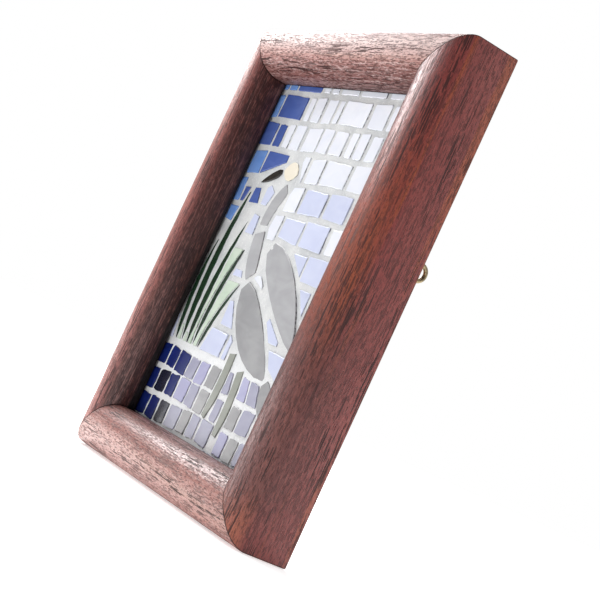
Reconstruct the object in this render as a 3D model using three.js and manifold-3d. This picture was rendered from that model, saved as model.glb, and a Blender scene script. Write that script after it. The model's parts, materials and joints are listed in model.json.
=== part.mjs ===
// Framed glass mosaic panel: four mitred bullnose rails round a backing board, which carries a
// picture of cut glass pieces set in grout. Two screw eyes in the back hold it on a wall, and
// its flat underside lets it stand. Millimetres, +Z up, the front faces -Y. The origin is the
// middle of the flat underside.
import * as THREE from 'three';
import { mergeVertices } from 'three/addons/utils/BufferGeometryUtils.js';
import Module from 'manifold-3d';

// Frame rails
const frameWidth = 140;
const frameHeight = 168;
const frameDepth = 23;
const railWidth = 19;
const flatDepth = 14.8; // the flat outer sides, from the back to where the nose begins
const crownInset = 10.5; // from the outer side to the highest line of the nose
const noseFullness = 2.15; // exponent of the nose's curve: 2 would be an ellipse
const noseSteps = 20;
const rebateWidth = 4.5;
const mitreGap = 0.3;

// Backing board, glass and grout, one in front of the other
const boardInset = 1.5; // from the frame's back to the board's back
const boardThickness = 5.2;
const boardClearance = 0.5;
const bedUnder = 0.5; // grout under the glass
const glassThickness = 3;
const groutDrop = 0.4; // the grout lies this much lower than the glass
const layerGap = 0.3;
const lipClearance = 0.3;
const pocketClearance = 0.3;

// Rows of sky glass
const skyRows = 10;
const skyColumns = 7;
const joint = 2.1;
const topRowShows = 1.6; // the top row is mostly under the rail
const groundShare = 0.212; // of the opening's height
const pictureShape = 1.2745; // height of the figures' field to its width
const edgeMargin = 1.5; // grout between the outermost glass and the board's edge
const reedJointShare = 0.0108; // of the width of the figures' field
const thinnestShare = 0.0086; // the thinnest sliver of glass that is cut, likewise
const sliverSteps = 14;
const slant = 0.35; // how far a hand-cut corner is out of square
const smallestPiece = 9; // square millimetres: smaller offcuts are thrown away
const narrowestPiece = 1.6; // and so are narrower ones

// Screw eyes
const eyeHeight = 97.9; // above the underside
const eyeWire = 1.5;
const eyeRing = 6.7; // outside diameter
const eyeReach = 8.2; // how far the ring stands out behind the back
const eyeShank = 10; // length in the wood
const eyeFit = 0.3;

// Places that follow from these sizes
const backY = flatDepth / 2;
const groutBack = boardInset + boardThickness + layerGap;
const glassBack = groutBack + bedUnder + layerGap;
const lipBack = glassBack + glassThickness + lipClearance;
const opening = {
  left: railWidth - frameWidth / 2,
  right: frameWidth / 2 - railWidth,
  bottom: railWidth,
  top: frameHeight - railWidth,
};
const boardReach = rebateWidth - boardClearance; // how far the board goes under the lip
const board = {
  left: opening.left - boardReach,
  right: opening.right + boardReach,
  bottom: opening.bottom - boardReach,
  top: opening.top + boardReach,
};
const openingWidth = opening.right - opening.left;
const openingHeight = opening.top - opening.bottom;
const pictureHeight = Math.min(openingHeight, openingWidth * pictureShape);
const pictureWidth = pictureHeight / pictureShape;
const ground = opening.bottom + groundShare * openingHeight;
const skyFoot = ground + joint;
const skyHead = opening.top - topRowShows; // the foot of the top row
const skyPitch = (skyHead - skyFoot) / (skyRows - 1);
const skyLength = (board.right - board.left - 2 * edgeMargin) / skyColumns;

const colours = {
  wood: 0x83483f,
  board: 0xb89468,
  grout: 0xdedfdc,
  brass: 0x8d8066,
  amber: 0x4a4436,
  cream: 0xe9e4d4,
  pearl: 0xcbcbcf,
  silver: 0xb7b8bb,
  green: 0x24492b,
  paleGreen: 0xd8e5d6,
  white: 0xf1f4fa,
  lavender: 0xd6dcef,
  cornflower: 0x6d93d3,
  navy: 0x2e3f88,
};

const wasm = await Module();
wasm.setup();
const object = new THREE.Group();

function addPiece(name, geometry, colour, roughness = 0.6, metalness = 0) {
  const material = new THREE.MeshStandardMaterial({ color: colours[colour], roughness, metalness });
  const mesh = new THREE.Mesh(geometry, material);
  mesh.name = name;
  object.add(mesh);
  return mesh;
}

// A closed shape as a solid that can be joined and cut
function toSolid(geometry) {
  const bare = geometry.clone();
  bare.deleteAttribute('normal');
  bare.deleteAttribute('uv');
  const merged = mergeVertices(bare, 1e-3);
  const vertProperties = new Float32Array(merged.attributes.position.array);
  const triVerts = new Uint32Array(merged.index.array);
  return new wasm.Manifold(new wasm.Mesh({ numProp: 3, vertProperties, triVerts }));
}

function toGeometry(solid) {
  const mesh = solid.getMesh();
  const geometry = new THREE.BufferGeometry();
  geometry.setAttribute('position', new THREE.BufferAttribute(mesh.vertProperties, 3));
  geometry.setIndex(new THREE.BufferAttribute(mesh.triVerts, 1));
  return geometry;
}

// Section of a rail: x from the outer side inwards, y from the back forwards
function railSection() {
  const section = new THREE.Shape();
  const lip = railWidth - rebateWidth;
  const rise = frameDepth - flatDepth;
  const swell = (value) => Math.pow(Math.abs(value), 2 / noseFullness);
  section.moveTo(0, 0);
  section.lineTo(lip, 0);
  section.lineTo(lip, lipBack);
  section.lineTo(railWidth, lipBack);
  section.lineTo(railWidth, flatDepth);
  for (let i = 1; i < noseSteps; i++) {
    const angle = (Math.PI * i) / noseSteps;
    const reach = Math.cos(angle) > 0 ? railWidth - crownInset : -crownInset;
    const x = crownInset + reach * swell(Math.cos(angle));
    section.lineTo(x, flatDepth + rise * swell(Math.sin(angle)));
  }
  section.lineTo(0, flatDepth);
  section.closePath();
  return section;
}

// A rail along z with both ends mitred, so that it is longest at its outer side
function railGeometry(length) {
  const geometry = new THREE.ExtrudeGeometry(railSection(), { depth: length, bevelEnabled: false });
  const position = geometry.attributes.position;
  for (let i = 0; i < position.count; i++) {
    const cutBack = position.getX(i) + mitreGap / Math.SQRT2;
    position.setZ(i, position.getZ(i) > length / 2 ? length - cutBack : cutBack);
  }
  return geometry;
}

// A side rail with the hole for its screw eye, drilled from the back
function drilledRailGeometry(eyeAlong) {
  const radius = eyeWire / 2 + eyeFit;
  const drill = new THREE.CylinderGeometry(radius, radius, 2 * (eyeShank + eyeFit), 12);
  drill.translate(railWidth / 2, 0, eyeAlong);
  return toGeometry(toSolid(railGeometry(frameHeight)).subtract(toSolid(drill)));
}

function addRail(name, geometry, inward, startX, startZ) {
  const rail = addPiece(name, geometry, 'wood');
  const forward = new THREE.Vector3(0, -1, 0);
  const along = inward.clone().cross(forward);
  rail.setRotationFromMatrix(new THREE.Matrix4().makeBasis(inward, forward, along));
  rail.position.set(startX, backY, startZ);
}

function addFrame() {
  const half = frameWidth / 2;
  const up = new THREE.Vector3(0, 0, 1);
  const down = new THREE.Vector3(0, 0, -1);
  const toRight = new THREE.Vector3(1, 0, 0);
  const toLeft = new THREE.Vector3(-1, 0, 0);
  addRail('bottom_rail', railGeometry(frameWidth), up, -half, 0);
  addRail('top_rail', railGeometry(frameWidth), down, half, frameHeight);
  addRail('left_rail', drilledRailGeometry(frameHeight - eyeHeight), toRight, -half, frameHeight);
  addRail('right_rail', drilledRailGeometry(eyeHeight), toLeft, half, 0);
}

// A screw eye: a ring of wire standing upright across the rail, on a shank that points forwards
function eyeGeometry() {
  const wire = eyeWire / 2;
  const ringCentre = eyeReach - eyeRing / 2;
  const ring = new THREE.TorusGeometry(eyeRing / 2 - wire, wire, 10, 24);
  ring.rotateY(Math.PI / 2);
  ring.translate(0, ringCentre, 0);
  const shankEnd = eyeReach - eyeRing + wire;
  const shank = new THREE.CylinderGeometry(wire, wire, eyeShank + shankEnd, 12);
  shank.translate(0, (shankEnd - eyeShank) / 2, 0);
  return toGeometry(toSolid(ring).add(toSolid(shank)));
}

function addScrewEyes() {
  for (const [name, side] of [['left_screw_eye', -1], ['right_screw_eye', 1]]) {
    const eye = addPiece(name, eyeGeometry(), 'brass', 0.4, 0.9);
    eye.position.set((side * (frameWidth - railWidth)) / 2, backY, eyeHeight);
  }
}

function addBoard() {
  const width = board.right - board.left;
  const height = board.top - board.bottom;
  const panel = addPiece('backing_board', new THREE.BoxGeometry(width, boardThickness, height), 'board');
  panel.position.set(0, backY - boardInset - boardThickness / 2, (board.top + board.bottom) / 2);
}

// Outlines in the picture are points of x across and y up, counter-clockwise from the front.
// A slab of one lies with its back at y = 0 and comes forwards by its thickness.
function slab(outline, thickness) {
  const settings = { depth: thickness, bevelEnabled: false };
  const geometry = new THREE.ExtrudeGeometry(new THREE.Shape(outline), settings);
  geometry.rotateX(Math.PI / 2);
  return geometry;
}

// A place as shares of the figures' field, which keeps its shape and rests on the ground
function at(across, up) {
  const x = (opening.left + opening.right) / 2 + (across - 0.5) * pictureWidth;
  const y = ground + (up - groundShare) * pictureHeight;
  return new THREE.Vector2(x, y);
}

// A curved, tapering shape from root to tip, as pairs of points on its two sides. Its width and
// its sideways bow are shares of its length, fullest is where along it is widest, and ends are
// the shares of that width left at the root and at the tip.
function leaf(root, tip, { width, bow = 0, fullest = 0.5, ends = [0, 0], steps = 8 }) {
  const along = tip.clone().sub(root);
  const sideways = new THREE.Vector2(-along.y, along.x);
  const middle = root.clone().lerp(tip, 0.5).addScaledVector(sideways, 2 * bow);
  const spine = new THREE.QuadraticBezierCurve(root, middle, tip);
  const lean = Math.log(0.5) / Math.log(fullest);
  const pairs = [];
  for (let i = 0; i <= steps; i++) {
    const t = i / steps;
    const least = THREE.MathUtils.lerp(ends[0], ends[1], t);
    const swell = i < steps ? Math.pow(Math.sin(Math.PI * Math.pow(t, lean)), 0.75) : 0;
    const half = (width / 2) * along.length() * (least + (1 - least) * swell);
    const point = spine.getPoint(t);
    const tangent = spine.getTangent(t);
    const side = new THREE.Vector2(-tangent.y, tangent.x).multiplyScalar(half);
    pairs.push([point.clone().sub(side), point.clone().add(side)]);
  }
  return pairs;
}

// The outline of a leaf, without the second point of a pair that meets in a sharp end
function outlineOf(pairs) {
  const there = pairs.map(([right]) => right);
  const back = pairs.map(([, left]) => left).reverse();
  const all = there.concat(back);
  return all.filter((point, i) => point.distanceTo(all[(i + 1) % all.length]) > 0.02);
}

// Distance of a point to the left of the line from a to b
function offLine(point, a, b) {
  return b.clone().sub(a).cross(point.clone().sub(a)) / a.distanceTo(b);
}

// Convex hull, counter-clockwise
function hull(points) {
  const sorted = [...points].sort((p, q) => p.x - q.x || p.y - q.y);
  const chain = (list) => {
    const kept = [];
    for (const point of list) {
      while (kept.length > 1 && offLine(point, kept.at(-2), kept.at(-1)) < 1e-6) kept.pop();
      kept.push(point);
    }
    return kept.slice(0, -1);
  };
  const under = chain(sorted);
  return under.concat(chain(sorted.reverse()));
}

// A leaf as short convex lengths, which glass can be cut along
function lengthsOf(pairs) {
  const lengths = [];
  for (let i = 0; i < pairs.length - 1; i += 2) lengths.push(hull(pairs.slice(i, i + 3).flat()));
  return lengths;
}

function area(outline) {
  return outline.length < 3 ? 0 : THREE.ShapeUtils.area(outline);
}

// Whether an offcut is large enough to be set
function worthSetting(outline) {
  const span = Math.max(0, ...outline.map((point) => point.distanceTo(outline[0])));
  return area(outline) >= Math.max(smallestPiece, narrowestPiece * span);
}

// What a convex outline has at least reach beyond a line: to its left with sideways 1, to its
// right with -1
function trim(outline, a, b, sideways, reach) {
  const kept = [];
  const beyond = (point) => sideways * offLine(point, a, b) - reach;
  outline.forEach((point, i) => {
    const next = outline[(i + 1) % outline.length];
    const here = beyond(point);
    const there = beyond(next);
    if (here >= 0) kept.push(point);
    if (here * there < 0) kept.push(point.clone().lerp(next, here / (here - there)));
  });
  return kept;
}

// Whether two convex outlines come closer than a joint
function meets(first, second) {
  const apart = (edges, points) => edges.some((a, i) => {
    const b = edges[(i + 1) % edges.length];
    return points.every((point) => offLine(point, a, b) < 0.01 - joint);
  });
  return !apart(first, second) && !apart(second, first);
}

// A blank is cut along straight lines until every piece of it clears the figures by a joint.
function cutToFit(blank, figures) {
  const done = [];
  const waiting = [blank];
  while (waiting.length) {
    const piece = waiting.pop();
    const figure = figures.find((shape) => meets(piece, shape));
    if (!figure) {
      done.push(piece);
      continue;
    }
    const cuts = figure.map((a, i) => {
      const b = figure[(i + 1) % figure.length];
      return { a, b, kept: trim(piece, a, b, -1, joint) };
    });
    const best = cuts.reduce((one, other) => (area(other.kept) > area(one.kept) ? other : one));
    const rest = trim(piece, best.a, best.b, 1, 0);
    if (!worthSetting(best.kept)) continue;
    waiting.push(best.kept);
    if (worthSetting(rest)) waiting.push(rest);
  }
  return done;
}

// An even wandering between -1 and 1, different for every row and column
function wander(row, column) {
  return Math.sin(12.9 * row + 4.1 * column);
}

// The uncut piece of sky glass at a row and column, out of square as if cut by hand
function skyBlank(row, column) {
  const low = skyHead - row * skyPitch;
  const high = Math.min(low + skyPitch - joint, board.top - edgeMargin);
  const first = board.left + edgeMargin;
  const last = board.right - edgeMargin;
  const edge = (k) => first + skyLength * (k - 0.4 * (row % 3) + 0.16 * wander(row, k));
  const left = Math.max(edge(column), first);
  const right = Math.min(edge(column + 1) - joint, last);
  const corner = (x, y, k) => new THREE.Vector2(
    THREE.MathUtils.clamp(x + slant * wander(row + k, column), first, last),
    y + slant * wander(row, column + k) * (row > 0 ? 1 : 0),
  );
  if (right - left < 2 * joint) return null;
  return [corner(left, low, 1), corner(right, low, 2), corner(right, high, 3), corner(left, high, 4)];
}

// The sky is blue at the upper left, white at the top and pale lavender elsewhere.
function skyColour(outline, row, column) {
  const centre = outline.reduce((sum, point) => sum.add(point), new THREE.Vector2());
  const { x, y } = centre.divideScalar(outline.length);
  const across = (x - opening.left) / openingWidth;
  const up = (y - opening.bottom) / openingHeight;
  if (across < 0.2 && up > 0.5) return wander(row, column) < -0.7 ? 'navy' : 'cornflower';
  return up > 0.7 || wander(row, column) > 0.75 ? 'white' : 'lavender';
}

// The picture: a wading bird that stands beside a clump of reeds. Roots and tips are shares of
// the figures' field.
const bird = {
  beak: { colour: 'amber', root: [0.262, 0.752], tip: [0.14, 0.712], width: 0.24, fullest: 0.3 },
  head: { colour: 'cream', root: [0.272, 0.756], tip: [0.378, 0.752], width: 0.66, bow: 0.04 },
  upper_neck: { colour: 'pearl', root: [0.352, 0.709], tip: [0.302, 0.598], width: 0.42, bow: -0.1 },
  lower_neck: { colour: 'pearl', root: [0.305, 0.576], tip: [0.375, 0.458], width: 0.46, bow: -0.04 },
  body: { colour: 'silver', root: [0.376, 0.43], tip: [0.765, 0.225], width: 0.29, bow: -0.05, fullest: 0.42 },
  wing: { colour: 'pearl', root: [0.425, 0.545], tip: [0.86, 0.31], width: 0.24, bow: 0.03, fullest: 0.38 },
  tail: { colour: 'silver', root: [0.785, 0.218], tip: [0.872, 0.135], width: 0.55 },
  front_leg: { colour: 'silver', root: [0.502, 0.254], tip: [0.49, 0.075], width: 0.2, bow: 0.05, steps: 4 },
  rear_leg: { colour: 'silver', root: [0.602, 0.22], tip: [0.62, 0.045], width: 0.2, bow: 0.05, steps: 4 },
};
const bluntEnds = {
  beak: [0.5, 0],
  upper_neck: [0.7, 0.85],
  lower_neck: [0.8, 0.75],
  body: [0.35, 0.1],
  wing: [0.4, 0.05],
  tail: [0.45, 0.3],
  front_leg: [0.95, 0.6],
  rear_leg: [0.95, 0.6],
};
for (const [name, piece] of Object.entries(bird)) {
  piece.pairs = leaf(at(...piece.root), at(...piece.tip), { ...piece, ends: bluntEnds[name] });
}
const reedRoots = [0.045, 0.092, 0.139, 0.186, 0.233];
const reedTips = [[0.02, 0.53], [0.1, 0.68], [0.178, 0.6], [0.25, 0.52], [0.33, 0.43]];
const reedFoot = 0.232;
const reeds = reedRoots.map((root, i) => {
  const tip = at(...reedTips[i]);
  return leaf(at(root, reedFoot), tip, { width: 0.066, bow: 0.06, fullest: 0.4 });
});

// How far across one side of a reed is at a height
function sideAt(side, height) {
  const above = Math.max(side.findIndex((point) => point.y >= height), 1);
  const [under, over] = [side[above - 1], side[above]];
  const share = (height - under.y) / (over.y - under.y);
  return under.x + share * (over.x - under.x);
}

// A sliver of pale green glass fills the space between two reeds, up to where it is too thin.
const reedJoint = reedJointShare * pictureWidth;
const slivers = reeds.slice(1).map((after, i) => {
  const near = reeds[i].map(([right]) => right);
  const far = after.map(([, left]) => left);
  const top = Math.min(near.at(-1).y, far.at(-1).y);
  const pairs = [];
  for (let k = 0; k <= sliverSteps; k++) {
    const height = THREE.MathUtils.lerp(near[0].y, top, k / sliverSteps);
    const left = sideAt(near, height) + reedJoint;
    const right = sideAt(far, height) - reedJoint;
    const wide = right - left >= thinnestShare * pictureWidth;
    if (wide) pairs.push([new THREE.Vector2(right, height), new THREE.Vector2(left, height)]);
    else if (pairs.length) break;
  }
  return pairs;
});

function addPicture() {
  const outlines = [];
  const addGlass = (name, colour, outline) => {
    addPiece(name, slab(outline, glassThickness), colour, 0.15).position.y = backY - glassBack;
    outlines.push(outline);
  };
  for (const [name, { colour, pairs }] of Object.entries(bird)) {
    addGlass(`bird_${name}`, colour, outlineOf(pairs));
  }
  reeds.forEach((pairs, i) => addGlass(`reed_${i + 1}`, 'green', outlineOf(pairs)));
  slivers.forEach((pairs, i) => addGlass(`reed_sliver_${i + 1}`, 'paleGreen', outlineOf(pairs)));

  // Only the sky glass that is cut to the figures is made here. Whole pieces stay in the grout.
  const leaves = [...Object.values(bird).map(({ pairs }) => pairs), ...reeds, ...slivers];
  const figures = leaves.flatMap(lengthsOf);
  for (let row = 0; row < skyRows; row++) {
    for (let column = 0; column < skyColumns + 2; column++) {
      const blank = skyBlank(row, column);
      if (!blank || !figures.some((shape) => meets(blank, shape))) continue;
      cutToFit(blank, figures).forEach((outline, i) => {
        addGlass(`sky_${row}_${column}_${i + 1}`, skyColour(outline, row, column), outline);
      });
    }
  }
  return outlines;
}

// An outline moved outwards by a distance all round
function grown(outline, distance) {
  return outline.map((point, i) => {
    const before = outline[(i + outline.length - 1) % outline.length];
    const after = outline[(i + 1) % outline.length];
    const arriving = point.clone().sub(before).normalize();
    const leaving = after.clone().sub(point).normalize();
    const outward = new THREE.Vector2(arriving.y + leaving.y, -arriving.x - leaving.x).normalize();
    const slope = Math.max(outward.x * arriving.y - outward.y * arriving.x, 0.4);
    return point.clone().addScaledVector(outward, distance / slope);
  });
}

// The grout fills the board's front between the glass pieces, and lies thinly under them.
function addGrout(outlines) {
  const { left, right, bottom, top } = board;
  const sheet = [[left, bottom], [right, bottom], [right, top], [left, top]];
  const thickness = bedUnder + layerGap + glassThickness - groutDrop;
  let grout = toSolid(slab(sheet.map(([x, y]) => new THREE.Vector2(x, y)), thickness));
  for (const outline of outlines) {
    const pocket = slab(grown(outline, pocketClearance), thickness);
    pocket.translate(0, -bedUnder, 0);
    grout = grout.subtract(toSolid(pocket));
  }
  addPiece('grout', toGeometry(grout), 'grout', 0.9).position.y = backY - groutBack;
}

addFrame();
addScrewEyes();
addBoard();
addGrout(addPicture());

export default object;
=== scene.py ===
# Framed glass mosaic panel. The hardwood frame, the screw eyes, the board, the grout and the glass
# are worked in millimetres here and scaled to metres as each piece is placed.
import json
import math
import random

import bmesh
import bpy
from mathutils import Matrix, Vector
from mathutils.bvhtree import BVHTree


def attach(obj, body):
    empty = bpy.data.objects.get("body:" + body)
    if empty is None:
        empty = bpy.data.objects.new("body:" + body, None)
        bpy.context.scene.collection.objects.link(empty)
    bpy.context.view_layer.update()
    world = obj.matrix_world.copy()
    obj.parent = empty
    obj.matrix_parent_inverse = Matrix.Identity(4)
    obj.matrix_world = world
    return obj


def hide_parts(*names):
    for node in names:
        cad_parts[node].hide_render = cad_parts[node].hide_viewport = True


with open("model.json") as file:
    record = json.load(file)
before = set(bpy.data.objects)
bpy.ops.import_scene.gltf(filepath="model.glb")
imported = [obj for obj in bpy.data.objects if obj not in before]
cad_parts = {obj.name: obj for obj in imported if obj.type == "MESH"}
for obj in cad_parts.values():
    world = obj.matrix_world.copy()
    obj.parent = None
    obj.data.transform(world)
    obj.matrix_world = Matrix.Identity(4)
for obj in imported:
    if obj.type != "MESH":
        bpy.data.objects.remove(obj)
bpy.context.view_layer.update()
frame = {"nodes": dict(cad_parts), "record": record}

MM = 0.001

# Frame rails
FRAME_WIDTH = 140
FRAME_HEIGHT = 168
FRAME_DEPTH = 23
RAIL_WIDTH = 19
FLAT_DEPTH = 14.8
CROWN_INSET = 10.5
NOSE_FULLNESS = 2.15
NOSE_STEPS = 56
REBATE_WIDTH = 4.5
LIP_BACK = 11.1
BACK_Y = FLAT_DEPTH / 2
MITRE_GAP = 0.06

# What the rails hold, as depths in front of or behind the middle of the flat sides
BOARD_BACK = 5.9
BOARD_FRONT = 0.7
GROUT_BACK = 0.4
GROUT_FRONT = -3.0
GLASS_BACK = -0.4
GLASS_FRONT = -3.4
BOARD_SIDE = 55
BOARD_FOOT = 15
BOARD_HEAD = 153
OPENING_SIDE = 51
OPENING_FOOT = 19
OPENING_HEAD = 149

# Rows of sky glass and courses of ground glass
SKY_ROWS = 10
SKY_COLUMNS = 7
JOINT = 2.1
EDGE_MARGIN = 1.5
SLANT = 0.35
GROUND = 46.56
SKY_FOOT = GROUND + JOINT
SKY_HEAD = OPENING_HEAD - 1.6
SKY_PITCH = (SKY_HEAD - SKY_FOOT) / (SKY_ROWS - 1)
SKY_FIRST = EDGE_MARGIN - BOARD_SIDE
SKY_LAST = BOARD_SIDE - EDGE_MARGIN
SKY_LENGTH = (SKY_LAST - SKY_FIRST) / SKY_COLUMNS

# Screw eyes
EYE_HEIGHT = 97.9
EYE_ACROSS = (FRAME_WIDTH - RAIL_WIDTH) / 2
EYE_WIRE = 1.5
EYE_RING = 6.7
EYE_REACH = 8.2
EYE_SHANK = 10


def paint(red, green, blue):
    """A colour from its usual 0 to 255 values, as the shaders want it."""
    def linear(value):
        value /= 255
        return value / 12.92 if value <= 0.04045 else ((value + 0.055) / 1.055) ** 2.4
    return (linear(red), linear(green), linear(blue), 1)


class Value:
    """A number in a node tree, on which sums are written as Python writes them."""

    def __init__(self, nodes, socket):
        self.nodes = nodes
        self.socket = socket

    def maths(self, operation, *values):
        return self.nodes.node("ShaderNodeMath", {"operation": operation}, dict(enumerate(values)))

    def __add__(self, other):
        return self.maths("ADD", self, other)

    def __sub__(self, other):
        return self.maths("SUBTRACT", self, other)

    def __mul__(self, other):
        return self.maths("MULTIPLY", self, other)

    def __rsub__(self, other):
        return self.maths("SUBTRACT", other, self)

    def __abs__(self):
        return self.maths("ABSOLUTE", self)

    __radd__ = __add__
    __rmul__ = __mul__


class Nodes:
    """A node tree, with the few kinds of step that the finishes and the light are made of."""

    def __init__(self, tree):
        self.tree = tree
        self.tree.nodes.clear()

    def node(self, kind, settings=None, inputs=None, output=0):
        node = self.tree.nodes.new(kind)
        for name, value in (settings or {}).items():
            setattr(node, name, value)
        for name, value in (inputs or {}).items():
            if isinstance(value, Value):
                self.tree.links.new(value.socket, node.inputs[name])
            else:
                node.inputs[name].default_value = value
        return Value(self, node.outputs[output] if node.outputs else None)

    def vector(self, operation, first, second, output=0):
        return self.node("ShaderNodeVectorMath", {"operation": operation}, {0: first, 1: second}, output)

    def cells(self, place, size, shift=0):
        """A place measured in cells of a size in millimetres, the same or given for x, y and z."""
        sizes = size if isinstance(size, tuple) else (size,) * 3
        settings = {"Vector": place, "Location": (shift, 2 * shift, 3 * shift)}
        settings["Scale"] = [1 / (MM * cell) for cell in sizes]
        return self.node("ShaderNodeMapping", {}, settings)

    def noise(self, place, size, shift=0, detail=2, roughness=0.5, distortion=0, output=0):
        inputs = {"Vector": self.cells(place, size, shift), "Scale": 1, "Detail": detail}
        inputs |= {"Roughness": roughness, "Distortion": distortion}
        return self.node("ShaderNodeTexNoise", {}, inputs, output)

    def flecks(self, place, size, shift, largest, fewer=0):
        """1 inside small pointed flecks, at most one to a cell and each of its own size."""
        inputs = {"Vector": self.cells(place, size, shift), "Scale": 1}
        away = self.node("ShaderNodeTexVoronoi", {"feature": "F1"}, inputs, output="Distance")
        chance = Value(self, away.socket.node.outputs["Color"])
        return self.between((chance - fewer) * largest - away, 0, 0.05)

    def between(self, value, low, high):
        """0 below low, 1 above high and a soft step from one to the other."""
        inputs = {"Value": value, "From Min": low, "From Max": high}
        return self.node("ShaderNodeMapRange", {"interpolation_type": "SMOOTHSTEP"}, inputs)

    def mix(self, amount, first, second):
        inputs = {0: amount, 6: first, 7: second}
        return self.node("ShaderNodeMix", {"data_type": "RGBA"}, inputs, output=2)

    def bump(self, height, depth):
        return self.node("ShaderNodeBump", {}, {"Height": height, "Distance": depth * MM, "Strength": 1})


class Finish(Nodes):
    """A material."""

    def __init__(self, name):
        self.material = bpy.data.materials.new(name)
        self.material.use_nodes = True
        super().__init__(self.material.node_tree)
        self.place = self.node("ShaderNodeTexCoord", output="Object")

    def finished(self, **sockets):
        inputs = {name.replace("_", " "): value for name, value in sockets.items()}
        inputs["Specular IOR Level"] = inputs.pop("Specular", 0.5)
        surface = self.node("ShaderNodeBsdfPrincipled", {}, inputs)
        self.node("ShaderNodeOutputMaterial", {}, {"Surface": surface})
        return self.material


def hardwood(name, along, shift, tones, pores, warmth, wear_sheen_and_shade, varnish=0.45):
    """Reddish open-pored hardwood with its grain along x or z, under a satin varnish."""
    finish = Finish(name)
    dark, red, tan, pale = tones
    spot = finish.node("ShaderNodeSeparateXYZ", {}, {0: finish.place})
    depth = Value(finish, spot.socket.node.outputs[1])
    height = Value(finish, spot.socket.node.outputs[2])

    def grain(length, width):
        return tuple(length if axis == along else width for axis in "xyz")

    drift = finish.noise(finish.place, grain(60, 14), shift, detail=1, output=1)
    drift = finish.vector("MULTIPLY", drift, (2.6 * MM,) * 3)
    place = finish.vector("ADD", finish.place, drift)

    band = finish.noise(place, grain(210, 4.2), shift, detail=3, roughness=0.55)
    line = finish.noise(place, grain(45, 0.8), shift, detail=3, roughness=0.6)
    fibre = finish.noise(place, grain(2.4, 0.42), shift, detail=2)
    speck = finish.noise(place, grain(0.8, 0.5), shift + 9, detail=1)
    colour = finish.mix(finish.between(band, 0.3, 0.42) * 0.9 + 0.1, dark, red)
    colour = finish.mix(finish.between(band, 0.54, 0.66) * 0.8, colour, tan)
    nose = finish.between(depth, -8 * MM, -12 * MM) * finish.between(height, 0.16, 0.07)
    colour = finish.mix(nose * warmth, colour, tan)
    # Painted shade: near the bottom, the front of a warm-toned rail is painted darker.
    low = finish.between(height, 0.1, 0.05) * finish.between(height, 0.004, 0.02)
    low = low * finish.between(depth, 8 * MM, -9 * MM)
    colour = finish.mix(low * 1.1 * warmth, colour, dark)

    # Some rails are paler round the outside of the nose, partly from handling wear and partly as a painted sheen.
    # On some the flat sides are painted darker than the crown, and every rail's inside is painted darker, both as
    # painted shade. The backs are bare.
    from_side = FRAME_WIDTH / 2 * MM - abs(spot)
    from_end = height.maths("MINIMUM", height, FRAME_HEIGHT * MM - height)
    inward = from_side.maths("MINIMUM", from_side, from_end)
    worn_and_sheen = finish.between(inward, 15 * MM, 6 * MM) * finish.between(inward, 0.5 * MM, 5.5 * MM)
    colour = finish.mix(worn_and_sheen * wear_sheen_and_shade, colour, pale)
    flat = finish.between(depth, -14 * MM, -9 * MM) * wear_sheen_and_shade
    colour = finish.mix(flat * 0.9, colour, dark)
    colour = finish.mix(finish.between(inward, 11 * MM, 17 * MM) * 0.9, colour, dark)
    colour = finish.mix(finish.between(line, 0.52, 0.72) * 0.34, colour, dark)
    colour = finish.mix(finish.between(line, 0.5, 0.28) * 0.3, colour, pale)
    colour = finish.mix(finish.between(fibre, 0.5, 0.72) * 0.45, colour, dark)
    colour = finish.mix(finish.between(fibre, 0.5, 0.28) * 0.35, colour, pale)
    colour = finish.mix(finish.between(speck, 0.52, 0.7) * 0.4, colour, dark)

    crowd = finish.between(finish.noise(place, grain(60, 5), shift + 3, detail=1), 0.4, 0.6)
    vessels = finish.flecks(place, grain(18, 0.62), shift + 5, 1.0, 0.3) * crowd
    dashes = finish.flecks(place, grain(7, 0.55), shift + 6, 0.9, 0.2) * (crowd * 0.5 + 0.4)
    dots = finish.flecks(place, grain(2.1, 0.42), shift + 7, 0.7) * pores
    open_grain = vessels.maths("MAXIMUM", vessels, dashes).maths("MAXIMUM", dashes, dots)
    open_grain = open_grain.maths("MAXIMUM", open_grain, vessels)
    colour = finish.mix(open_grain * 0.9, colour, paint(44, 19, 19))

    # The mitres show as thin dark lines. A painted shadow darkens each rail where it meets the picture, and more so
    # at the left, towards the bottom.
    mitre = finish.between(abs(from_side - from_end), 0.4 * MM, 0.15 * MM)
    colour = finish.mix(mitre * 0.8, colour, paint(36, 16, 14))
    at_left = finish.between(spot, -0.048, -0.05)
    shadow_line = (height * 0.02 - 2.6 * MM) * at_left - 4.6 * MM
    foot = finish.between(depth - shadow_line, -0.5 * MM, 0.5 * MM)
    foot = foot * finish.between(inward, (RAIL_WIDTH - 0.8) * MM, (RAIL_WIDTH - 0.4) * MM)
    colour = finish.mix(foot * 0.96, colour, paint(14, 8, 9))

    bare = finish.between(depth, (BACK_Y - 0.5) * MM, (BACK_Y - 0.1) * MM)
    colour = finish.mix(bare * 0.75, colour, paint(128, 84, 66))
    relief = fibre * 0.35 + speck * 0.25 - open_grain
    gloss = (foot + bare) * 0.35 + open_grain * 0.3
    return finish.finished(
        Base_Color=colour,
        Roughness=finish.between(fibre, 0.3, 0.7) * 0.14 + 0.26 + gloss,
        Normal=finish.bump(relief, 0.14),
        Specular=varnish,
    )


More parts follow.
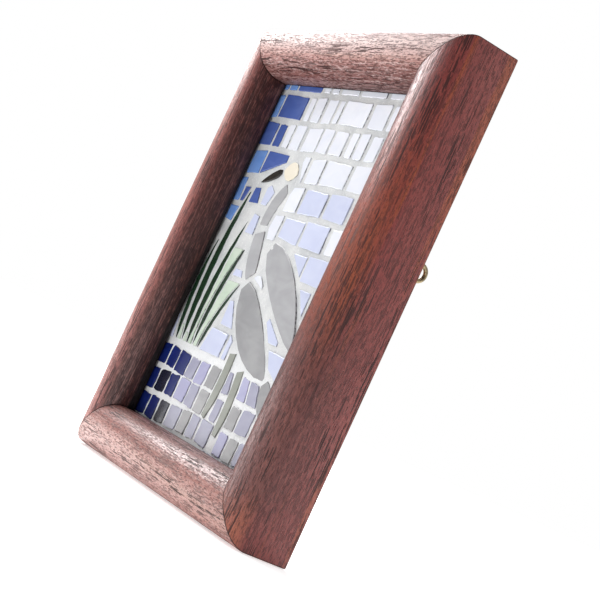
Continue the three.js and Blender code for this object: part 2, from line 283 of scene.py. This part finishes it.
def art_glass(name, body, wisp, wisps=0.5, spread=0.14, polish=0.17):
    """Hand-rolled opaque glass: a body colour, wisps of another, and a faintly wavy skin."""
    finish = Finish(name)
    own = finish.node("ShaderNodeAttribute", {"attribute_name": "own"}, output="Fac")
    shift = finish.node("ShaderNodeCombineXYZ", {}, {0: own * 0.31, 1: own * 0.17, 2: own * 0.23})
    place = finish.vector("ADD", finish.place, shift)
    swirl = finish.noise(place, (13, 13, 6), detail=2, roughness=0.5, distortion=0.7)
    cloud = finish.noise(place, 18, shift=4, detail=1)
    colour = finish.mix(finish.between(swirl, 0.3, 0.75) * wisps, body, wisp)
    shaded = [0.72 * part for part in body[:3]] + [1]
    colour = finish.mix(finish.between(cloud, 0.3, 0.8) * spread, colour, shaded)
    colour = finish.mix(own * spread, colour, shaded)
    # Painted shade: dark broken specks along the bevelled rim of the front stand for the shadow in the joint between
    # glass and grout.
    rim = finish.node("ShaderNodeAttribute", {"attribute_name": "rim"}, output="Fac")
    painted_joint_shade = finish.noise(place, 1.3, shift=6, detail=2)
    painted_joint_shade = finish.between(painted_joint_shade, 0.44, 0.56) * finish.between(rim, 0.2, 0.9)
    colour = finish.mix(painted_joint_shade * 0.75, colour, paint(70, 68, 70))
    skin = finish.noise(place, 3.5, shift=9, detail=2)
    return finish.finished(
        Base_Color=colour,
        Roughness=finish.between(skin, 0.3, 0.8) * 0.1 + polish,
        Normal=finish.bump(skin, 0.06),
        Specular=0.35,
    )


def sanded_grout():
    finish = Finish("sanded_grout")
    sand = finish.noise(finish.place, 0.55, detail=3, roughness=0.65)
    cloud = finish.noise(finish.place, 9, shift=3, detail=3)
    colour = finish.mix(finish.between(cloud, 0.35, 0.7), paint(208, 209, 209), paint(190, 192, 194))
    spot = finish.node("ShaderNodeSeparateXYZ", {}, {0: finish.place})
    height = Value(finish, spot.socket.node.outputs[2])
    colour = finish.mix(finish.between(height, 0.058, 0.044) * 0.7, colour, paint(240, 241, 242))
    colour = finish.mix(finish.between(sand, 0.56, 0.72) * 0.4, colour, paint(178, 180, 182))
    colour = finish.mix(finish.between(sand, 0.42, 0.3) * 0.6, colour, paint(246, 246, 244))
    return finish.finished(Base_Color=colour, Roughness=0.88, Normal=finish.bump(sand, 0.25))


def pressed_board():
    finish = Finish("pressed_board")
    fibre = finish.noise(finish.place, (2.2, 2.2, 0.7), detail=4, roughness=0.65, distortion=0.6)
    cloud = finish.noise(finish.place, 22, shift=2, detail=3)
    colour = finish.mix(finish.between(cloud, 0.2, 0.8), paint(174, 136, 98), paint(186, 150, 110))
    colour = finish.mix(finish.between(fibre, 0.5, 0.75) * 0.5, colour, paint(126, 92, 60))
    return finish.finished(Base_Color=colour, Roughness=0.8, Normal=finish.bump(fibre, 0.12))


def aged_brass():
    finish = Finish("aged_brass")
    patina = finish.noise(finish.place, 1.6, detail=4, roughness=0.6)
    scratch = finish.noise(finish.place, (0.25, 0.25, 2.5), shift=5, detail=2)
    tarnish = finish.between(patina, 0.42, 0.66)
    colour = finish.mix(tarnish, paint(164, 148, 116), paint(92, 82, 66))
    colour = finish.mix(finish.between(scratch, 0.6, 0.75) * 0.5, colour, paint(208, 196, 160))
    return finish.finished(
        Base_Color=colour,
        Metallic=0.95 - tarnish * 0.25,
        Roughness=tarnish * 0.25 + 0.28,
        Normal=finish.bump(scratch + patina, 0.05),
    )


def soften(shape, edges, width, segments=2):
    bmesh.ops.bevel(
        shape, geom=edges, offset=width, offset_type="OFFSET", segments=segments, profile=0.5,
        affect="EDGES", material=-1, clamp_overlap=True,
    )


def steep(shape, degrees):
    """The edges where two faces meet at more than an angle."""
    limit = math.radians(degrees)
    return [edge for edge in shape.edges if edge.is_manifold and edge.calc_face_angle(0) > limit]


def place_piece(name, shape, material, node=None, smooth=32):
    """Makes a piece of the panel from a shape in millimetres. It may stand for a CAD node."""
    bmesh.ops.scale(shape, vec=(MM, MM, MM), verts=shape.verts)
    bmesh.ops.recalc_face_normals(shape, faces=shape.faces)
    mesh = bpy.data.meshes.new(name)
    shape.to_mesh(mesh)
    shape.free()
    mesh.materials.append(material)
    mesh.shade_smooth()
    mesh.set_sharp_from_angle(angle=math.radians(smooth))
    piece = bpy.data.objects.new(name, mesh)
    bpy.context.scene.collection.objects.link(piece)
    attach(piece, "root")
    if node:
        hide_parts(node)
    return piece


def rail_section():
    """Points of a rail's section: inwards from its outer side, and forwards from its back."""
    lip = RAIL_WIDTH - REBATE_WIDTH
    rise = FRAME_DEPTH - FLAT_DEPTH
    points = [(0, 0), (lip, 0), (lip, LIP_BACK), (RAIL_WIDTH, LIP_BACK), (RAIL_WIDTH, FLAT_DEPTH)]
    for step in range(1, NOSE_STEPS):
        angle = math.pi * step / NOSE_STEPS
        reach = RAIL_WIDTH - CROWN_INSET if math.cos(angle) > 0 else -CROWN_INSET
        inward = CROWN_INSET + reach * abs(math.cos(angle)) ** (2 / NOSE_FULLNESS)
        points.append((inward, FLAT_DEPTH + rise * math.sin(angle) ** (2 / NOSE_FULLNESS)))
    return points + [(0, FLAT_DEPTH)]


def mitred_rail(name, node, length, inward, start, material):
    """A length of moulding with both ends mitred and every hard edge just broken."""
    shape = bmesh.new()
    face = shape.faces.new([shape.verts.new((u, depth, 0)) for u, depth in rail_section()])
    run = bmesh.ops.extrude_face_region(shape, geom=[face])["geom"]
    far_end = [part for part in run if isinstance(part, bmesh.types.BMVert)]
    bmesh.ops.translate(shape, verts=far_end, vec=(0, 0, length))
    for end, slope in ((MITRE_GAP, 1), (length - MITRE_GAP, -1)):
        parts = shape.verts[:] + shape.edges[:] + shape.faces[:]
        bmesh.ops.bisect_plane(
            shape, geom=parts, dist=1e-5, plane_co=(0, 0, end), plane_no=(-1, 0, slope), clear_inner=True,
        )
        open_rim = [edge for edge in shape.edges if edge.is_boundary]
        bmesh.ops.holes_fill(shape, edges=open_rim, sides=0)
    bmesh.ops.recalc_face_normals(shape, faces=shape.faces)
    soften(shape, steep(shape, 40), 0.28)
    forward = Vector((0, -1, 0))
    inward = Vector(inward)
    turn = Matrix((inward, forward, inward.cross(forward))).transposed().to_4x4()
    turn.translation = Vector((start[0], BACK_Y, start[1]))
    bmesh.ops.transform(shape, matrix=turn, verts=shape.verts)
    place_piece(name, shape, material, node)


def hardwood_frame():
    half = FRAME_WIDTH / 2
    # The rails take lighter and darker copies of one wood's colours: the level rails are painted paler and pinker, a
    # painted sheen and light from above, and the uprights deeper and darker, a painted shade.
    pinkish = (paint(130, 76, 70), paint(178, 121, 112), paint(188, 136, 120), paint(234, 206, 198))
    rosy = (paint(112, 72, 68), paint(182, 132, 125), paint(192, 146, 133), paint(238, 216, 212))
    maroon = (paint(92, 43, 41), paint(134, 63, 60), paint(162, 84, 54), paint(164, 95, 86))
    umber = (paint(56, 26, 25), paint(160, 87, 80), paint(166, 97, 80), paint(190, 132, 124))
    # The top rail has almost no specular; its sheen is painted into its colour as the pale band round its nose.
    top = hardwood("top_hardwood", "x", 11, rosy, 0.65, 0, 0.75, 0.05)
    bottom = hardwood("bottom_hardwood", "x", 23, pinkish, 0.6, 0, 0.3)
    left = hardwood("left_hardwood", "z", 5, umber, 0.5, 0, 0.8)
    right = hardwood("right_hardwood", "z", 17, maroon, 0.5, 0.8, 0)
    mitred_rail("top_moulding", "top_rail", FRAME_WIDTH, (0, 0, -1), (half, FRAME_HEIGHT), top)
    mitred_rail("bottom_moulding", "bottom_rail", FRAME_WIDTH, (0, 0, 1), (-half, 0), bottom)
    mitred_rail("left_moulding", "left_rail", FRAME_HEIGHT, (1, 0, 0), (-half, FRAME_HEIGHT), left)
    mitred_rail("right_moulding", "right_rail", FRAME_HEIGHT, (-1, 0, 0), (half, 0), right)


def screw_eye(name, node, across, brass):
    """A ring of bent wire, open by a hair where its end meets the shank, that stands upright."""
    wire = EYE_WIRE / 2
    bend = EYE_RING / 2 - wire
    centre = Vector((across, BACK_Y + EYE_REACH - EYE_RING / 2, EYE_HEIGHT))
    shape = bmesh.new()
    to_ring = Matrix.Translation(centre + Vector((0, -bend, 0))) @ Matrix.Rotation(0, 4, "X")
    rim = bmesh.ops.create_circle(shape, cap_ends=True, segments=16, radius=wire, matrix=to_ring)
    bmesh.ops.spin(
        shape, geom=rim["verts"] + shape.edges[:] + shape.faces[:], cent=centre, axis=(1, 0, 0),
        angle=math.radians(338), steps=48, use_merge=False,
    )
    root = BACK_Y + EYE_REACH - EYE_RING + wire
    length = EYE_SHANK + root - BACK_Y
    upright = Matrix.Translation((across, root - length / 2, EYE_HEIGHT)) @ Matrix.Rotation(math.pi / 2, 4, "X")
    bmesh.ops.create_cone(
        shape, cap_ends=True, segments=16, radius1=wire, radius2=wire * 0.98, depth=length, matrix=upright,
    )
    place_piece(name, shape, brass, node, smooth=40)


def screw_eyes():
    brass = aged_brass()
    screw_eye("left_wire_eye", "left_screw_eye", -EYE_ACROSS, brass)
    screw_eye("right_wire_eye", "right_screw_eye", EYE_ACROSS, brass)


def block(low, high):
    """A box between two corners."""
    shape = bmesh.new()
    middle = (Vector(low) + Vector(high)) / 2
    size = Vector(high) - Vector(low)
    bmesh.ops.create_cube(shape, size=1, matrix=Matrix.Translation(middle) @ Matrix.Diagonal((*size, 1)))
    return shape


def backing_board():
    shape = block((-BOARD_SIDE, BOARD_FRONT, BOARD_FOOT), (BOARD_SIDE, BOARD_BACK, BOARD_HEAD))
    soften(shape, shape.edges[:], 0.25)
    place_piece("pressed_backing", shape, pressed_board(), "backing_board")


def grout_bed():
    """Grout that was wiped by hand, so its front rises and falls a little."""
    shape = block((-BOARD_SIDE, GROUT_FRONT, BOARD_FOOT), (BOARD_SIDE, GROUT_BACK, BOARD_HEAD))
    front = [face for face in shape.faces if face.normal.y < -0.9]
    rim = {edge for face in front for edge in face.edges}
    bmesh.ops.subdivide_edges(shape, edges=list(rim), cuts=95, use_grid_fill=True)
    for vert in shape.verts:
        if vert.co.y < GROUT_FRONT + 0.01:
            x, z = vert.co.x, vert.co.z
            vert.co.y += 0.09 * math.sin(0.83 * x + 1.7 * math.sin(0.31 * z)) * math.sin(0.71 * z + 0.4 * x)
    place_piece("wiped_grout", shape, sanded_grout(), "grout", smooth=60)


# Finishes of glass: the material slot, the body colour and the colour of the wisps
GLASS = {
    "amber_glass": ("amber_glass", paint(34, 32, 30), paint(64, 57, 46)),
    "cream_glass": ("cream_glass", paint(230, 222, 204), paint(240, 233, 220)),
    "pearl_glass": ("pearl_glass", paint(168, 168, 171), paint(196, 196, 198)),
    "silver_glass": ("silver_glass", paint(150, 150, 152), paint(180, 180, 181)),
    "leg_glass": ("silver_glass", paint(148, 151, 143), paint(170, 172, 164)),
    "green_glass": ("green_glass", paint(26, 56, 33), paint(12, 30, 22)),
    "pale_green_glass": ("pale_green_glass", paint(206, 218, 203), paint(168, 194, 168)),
    "white_glass": ("white_glass", paint(231, 233, 241), paint(218, 224, 238)),
    "lavender_glass": ("lavender_glass", paint(200, 206, 231), paint(216, 221, 239)),
    "cornflower_glass": ("cornflower_glass", paint(104, 144, 212), paint(132, 167, 222)),
    "indigo_glass": ("navy_glass", paint(70, 92, 160), paint(90, 114, 180)),
    "navy_glass": ("navy_glass", paint(20, 37, 106), paint(16, 26, 78)),
    "slate_glass": ("silver_glass", paint(154, 154, 175), paint(174, 174, 192)),
    "lilac_glass": ("lavender_glass", paint(164, 163, 197), paint(182, 183, 209)),
    "night_glass": ("navy_glass", paint(18, 22, 40), paint(28, 34, 62)),
}


def rim_of_front(shape):
    """The edges round a glass piece's front."""
    faces = [face for face in shape.faces if face.normal.y < -0.9]
    return [edge for face in faces for edge in face.edges if any(f.normal.y > -0.9 for f in edge.link_faces)]


def set_glass(name, shape, finish, glass, luck, node=None, edge=0.26):
    """Wears a glass piece's front edges, sets it slightly askew and gives it its own pattern."""
    bmesh.ops.recalc_face_normals(shape, faces=shape.faces)
    soften(shape, rim_of_front(shape), edge)
    bmesh.ops.dissolve_degenerate(shape, dist=1e-3, edges=shape.edges)
    centre = sum((vert.co for vert in shape.verts), Vector()) / len(shape.verts)
    askew = (luck.uniform(-0.013, 0.013), luck.uniform(-0.013, 0.013))
    sunk = luck.uniform(-0.02, 0.14)
    own = luck.random()
    own_layer = shape.verts.layers.float.new("own")
    rim_layer = shape.verts.layers.float.new("rim")
    for vert in shape.verts:
        vert[own_layer] = own
        vert[rim_layer] = vert.co.y > GLASS_FRONT + edge / 2
        vert.co.y += sunk + askew[0] * (vert.co.x - centre.x) + askew[1] * (vert.co.z - centre.z)
    place_piece(name, shape, glass[finish], node, smooth=15)


def picture_glass(glass):
    """The pieces that the figures and the cut sky are made of, shaped as the CAD has them."""
    luck = random.Random(41)
    for entry in frame["record"]["subparts"]:
        node, slot = entry["node"], entry["material_slot"]
        if not slot.endswith("_glass"):
            continue
        shape = bmesh.new()
        shape.from_mesh(frame["nodes"][node].data)
        bmesh.ops.remove_doubles(shape, verts=shape.verts, dist=1e-6)
        bmesh.ops.scale(shape, vec=(1 / MM,) * 3, verts=shape.verts)
        bmesh.ops.dissolve_limit(shape, angle_limit=math.radians(0.5), verts=shape.verts, edges=shape.edges)
        finish = "leg_glass" if "leg" in node else "indigo_glass" if slot == "navy_glass" else slot
        set_glass(node + "_glass", shape, finish, glass, luck, node)


def wander(row, column):
    return math.sin(12.9 * row + 4.1 * column)


def sky_blank(row, column):
    """Corners of a whole piece of sky glass, out of square as it was cut by hand."""
    low = SKY_HEAD - row * SKY_PITCH
    high = min(low + SKY_PITCH - JOINT, BOARD_HEAD - EDGE_MARGIN)

    def cut(k):
        return SKY_FIRST + SKY_LENGTH * (k - 0.4 * (row % 3) + 0.16 * wander(row, k))

    left = max(cut(column), SKY_FIRST)
    right = min(cut(column + 1) - JOINT, SKY_LAST)
    if right - left < 2 * JOINT:
        return None

    def corner(x, z, k):
        across = x + SLANT * wander(row + k, column)
        up = z + SLANT * wander(row, column + k) * (row > 0)
        return min(max(across, SKY_FIRST), SKY_LAST), up

    return [corner(left, low, 1), corner(right, low, 2), corner(right, high, 3), corner(left, high, 4)]


def hand_cut(outline, luck, nibble=0.14):
    """A slab of glass of an outline whose sides wander a little and whose corners are nipped."""
    shape = bmesh.new()
    shape.faces.new([shape.verts.new((x, GLASS_FRONT, z)) for x, z in outline])
    corners = shape.verts[:]
    bmesh.ops.bevel(
        shape, geom=corners, offset=luck.uniform(0.25, 0.7), offset_type="OFFSET", segments=2, profile=0.5,
        affect="VERTICES", material=-1,
    )
    long_edges = [edge for edge in shape.edges if edge.calc_length() > 2.5]
    bmesh.ops.subdivide_edges(shape, edges=long_edges, cuts=3)
    for vert in shape.verts:
        vert.co.x += luck.uniform(-nibble, nibble)
        vert.co.z += luck.uniform(-nibble, nibble)
    run = bmesh.ops.extrude_face_region(shape, geom=shape.faces[:])["geom"]
    back = [part for part in run if isinstance(part, bmesh.types.BMVert)]
    bmesh.ops.translate(shape, verts=back, vec=(0, GLASS_BACK - GLASS_FRONT, 0))
    return shape


def sky_slot(x, z, row, column):
    across = (x + OPENING_SIDE) / (2 * OPENING_SIDE)
    up = (z - OPENING_FOOT) / (OPENING_HEAD - OPENING_FOOT)
    if across < 0.2 and up > 0.5:
        return "indigo_glass" if wander(row, column) < -0.7 else "cornflower_glass"
    return "white_glass" if up > 0.7 or wander(row, column) > 0.75 else "lavender_glass"


def figure_trees():
    """Search trees of the bird's and the reeds' solids, to see where no sky glass lies."""
    names = [name for name in frame["nodes"] if name.startswith(("bird_", "reed_"))]
    trees = []
    for name in names:
        shape = bmesh.new()
        shape.from_mesh(frame["nodes"][name].data)
        trees.append(BVHTree.FromBMesh(shape))
        shape.free()
    return trees


def struck(x, z, trees):
    """Whether a figure lies at a place in the picture."""
    ray = (Vector((x * MM, -0.03, z * MM)), Vector((0, 1, 0)))
    return any(tree.ray_cast(*ray)[0] for tree in trees)


def covered(outline, trees):
    """Whether a figure lies on any part of an outline."""
    steps = [k / 8 for k in range(9)]
    for across in steps:
        for up in steps:
            foot = Vector(outline[0]).lerp(Vector(outline[1]), across)
            head = Vector(outline[3]).lerp(Vector(outline[2]), across)
            if struck(*foot.lerp(head, up), trees):
                return True
    return False


def cut_in_two(outline, luck):
    """One piece in three was cut in two before it was set."""
    foot_left, foot_right, head_right, head_left = (Vector(point) for point in outline)
    share = luck.uniform(0.34, 0.66)
    half = 0.4 * JOINT / (foot_right - foot_left).length
    if luck.random() > 0.34 or half > 0.09:
        return [outline]
    left = [foot_left, foot_left.lerp(foot_right, share - half), head_left.lerp(head_right, share - half), head_left]
    right = [foot_left.lerp(foot_right, share + half), foot_right, head_right, head_left.lerp(head_right, share + half)]
    return [left, right]


def sky_glass(glass, trees):
    """The whole pieces of sky, in the rows that the cut pieces belong to."""
    luck = random.Random(7)
    cut_pieces = [name for name in frame["nodes"] if name.startswith("sky_")]
    for row in range(SKY_ROWS):
        for column in range(SKY_COLUMNS + 2):
            outline = sky_blank(row, column)
            name = f"sky_{row}_{column}_"
            if not outline or any(piece.startswith(name) for piece in cut_pieces):
                continue
            if covered(outline, trees):
                continue
            x, z = sum((Vector(point) for point in outline), Vector((0, 0))) / 4
            finish = sky_slot(x, z, row, column)
            for number, part in enumerate(cut_in_two(outline, luck)):
                set_glass(name + f"whole_{number}", hand_cut(part, luck), finish, glass, luck)


def free_stretches(z, trees, joint):
    """The stretches of a level line across the picture that keep a joint from the figures."""
    stretches = []
    start = x = SKY_FIRST
    while x < SKY_LAST:
        if struck(x, z, trees):
            if x - joint > start:
                stretches.append((start, x - joint))
            start = x + joint
        x += 0.2
    return stretches + [(start, SKY_LAST)]


def ground_slot(x, luck):
    if x < -36 or x < -29 and luck.random() < 0.6:
        return luck.choice(["navy_glass", "navy_glass", "night_glass"])
    return luck.choice(["slate_glass", "slate_glass", "slate_glass", "silver_glass", "lilac_glass"])


def ground_glass(glass, trees):
    """Courses of small pieces that fill the space beside and between the figures' feet."""
    luck = random.Random(19)
    joint = 1.5
    number = 0
    for course, (foot, head) in enumerate(((15.6, 18.4), (19.9, 27.7), (29.2, 36.9), (38.4, 45.9))):
        lines = [free_stretches(z, trees, joint) for z in (foot, head)]
        if len(lines[0]) != len(lines[1]):
            lines = [max(lines, key=len)] * 2
        for under, over in zip(*lines):
            count = max(1, round((under[1] - under[0]) / 8.4))
            cuts = [(k + luck.uniform(-0.14, 0.14) * (0 < k < count)) / count for k in range(count + 1)]
            for start, stop in zip(cuts, cuts[1:]):
                outline = []
                for line, share, side, z in ((under, start, 1, foot), (under, stop, -1, foot),
                                             (over, stop, -1, head), (over, start, 1, head)):
                    x = line[0] + share * (line[1] - line[0]) + side * joint / 2 * (0 < share < 1)
                    sway = 0.5 * math.sin(0.09 * x + 2.1 * course)
                    outline.append((x + luck.uniform(-0.25, 0.25), z + sway + luck.uniform(-0.25, 0.25)))
                if outline[1][0] - outline[0][0] > 2.4 and outline[2][0] - outline[3][0] > 2.4:
                    finish = ground_slot(outline[0][0], luck)
                    set_glass(f"ground_{course}_{number}", hand_cut(outline, luck, 0.2), finish, glass, luck)
                    number += 1


def mosaic():
    glass = {finish: art_glass(finish, *colours) for finish, (_, *colours) in GLASS.items()}
    trees = figure_trees()
    grout_bed()
    picture_glass(glass)
    sky_glass(glass, trees)
    ground_glass(glass, trees)


def pale_floor():
    shape = bmesh.new()
    bmesh.ops.create_grid(shape, x_segments=1, y_segments=1, size=4)
    bmesh.ops.translate(shape, verts=shape.verts, vec=(0, 0, -0.0002))
    mesh = bpy.data.meshes.new("pale_floor")
    shape.to_mesh(mesh)
    shape.free()
    floor = bpy.data.objects.new("pale_floor", mesh)
    bpy.context.scene.collection.objects.link(floor)
    finish = Finish("pale_floor")
    white = (0.9, 0.9, 0.9, 1)
    surface = {"Base_Color": white, "Emission_Color": white, "Emission_Strength": 0.62}
    mesh.materials.append(finish.finished(Roughness=0.9, Specular=0.1, **surface))


def softbox(name, place, aim, width, height, watts):
    light = bpy.data.lights.new(name, "AREA")
    light.shape = "RECTANGLE"
    light.size = width
    light.size_y = height
    light.energy = watts
    lamp = bpy.data.objects.new(name, light)
    lamp.location = place
    lamp.rotation_euler = (Vector(aim) - Vector(place)).to_track_quat("-Z", "Y").to_euler()
    bpy.context.scene.collection.objects.link(lamp)


def studio_light():
    """A white studio that is dim only towards the front right, and one large softbox on the left."""
    world = bpy.data.worlds.new("white_studio")
    world.use_nodes = True
    studio = Nodes(world.node_tree)
    towards = studio.node("ShaderNodeTexCoord", output="Generated")
    dimness = studio.between(studio.vector("DOT_PRODUCT", towards, (0.78, -0.62, 0.05), output=1), 0.0, 0.75)
    gap = studio.between(studio.vector("DOT_PRODUCT", towards, (-0.87, -0.49, -0.02), output=1), 0.8, 0.97)
    far = studio.between(studio.vector("DOT_PRODUCT", towards, (-0.87, 0.46, 0.12), output=1), 0.75, 0.95)
    seen = studio.node("ShaderNodeLightPath", output="Is Camera Ray")
    strength = seen.maths("MAXIMUM", seen, 0.9 - dimness * 0.77 - gap * 0.8 - far * 0.6)
    light = studio.node("ShaderNodeBackground", {}, {"Color": (1, 1, 1, 1), "Strength": strength})
    studio.node("ShaderNodeOutputWorld", {}, {"Surface": light})
    bpy.context.scene.world = world
    softbox("left_softbox", (-0.71, -0.1, 0.62), (0, 0, 0.08), 0.9, 0.68, 16)


def photograph_view():
    """Seen from the right and just below the middle, with the camera rolled."""
    camera = bpy.data.cameras.new("camera")
    camera.lens = 97.79
    camera.sensor_width = 36
    holder = bpy.data.objects.new("camera", camera)
    place = Vector((0.4845, -0.2478, 0.0476))
    aim = Vector((0, 0.0113, 0.0780))
    turn = (aim - place).to_track_quat("-Z", "Y").to_matrix().to_4x4()
    holder.matrix_world = Matrix.Translation(place) @ turn @ Matrix.Rotation(math.radians(24.8), 4, "Z")
    bpy.context.scene.collection.objects.link(holder)
    bpy.context.scene.camera = holder


hardwood_frame()
screw_eyes()
backing_board()
mosaic()
pale_floor()
studio_light()
photograph_view()
bpy.context.scene.view_settings.view_transform = "Standard"
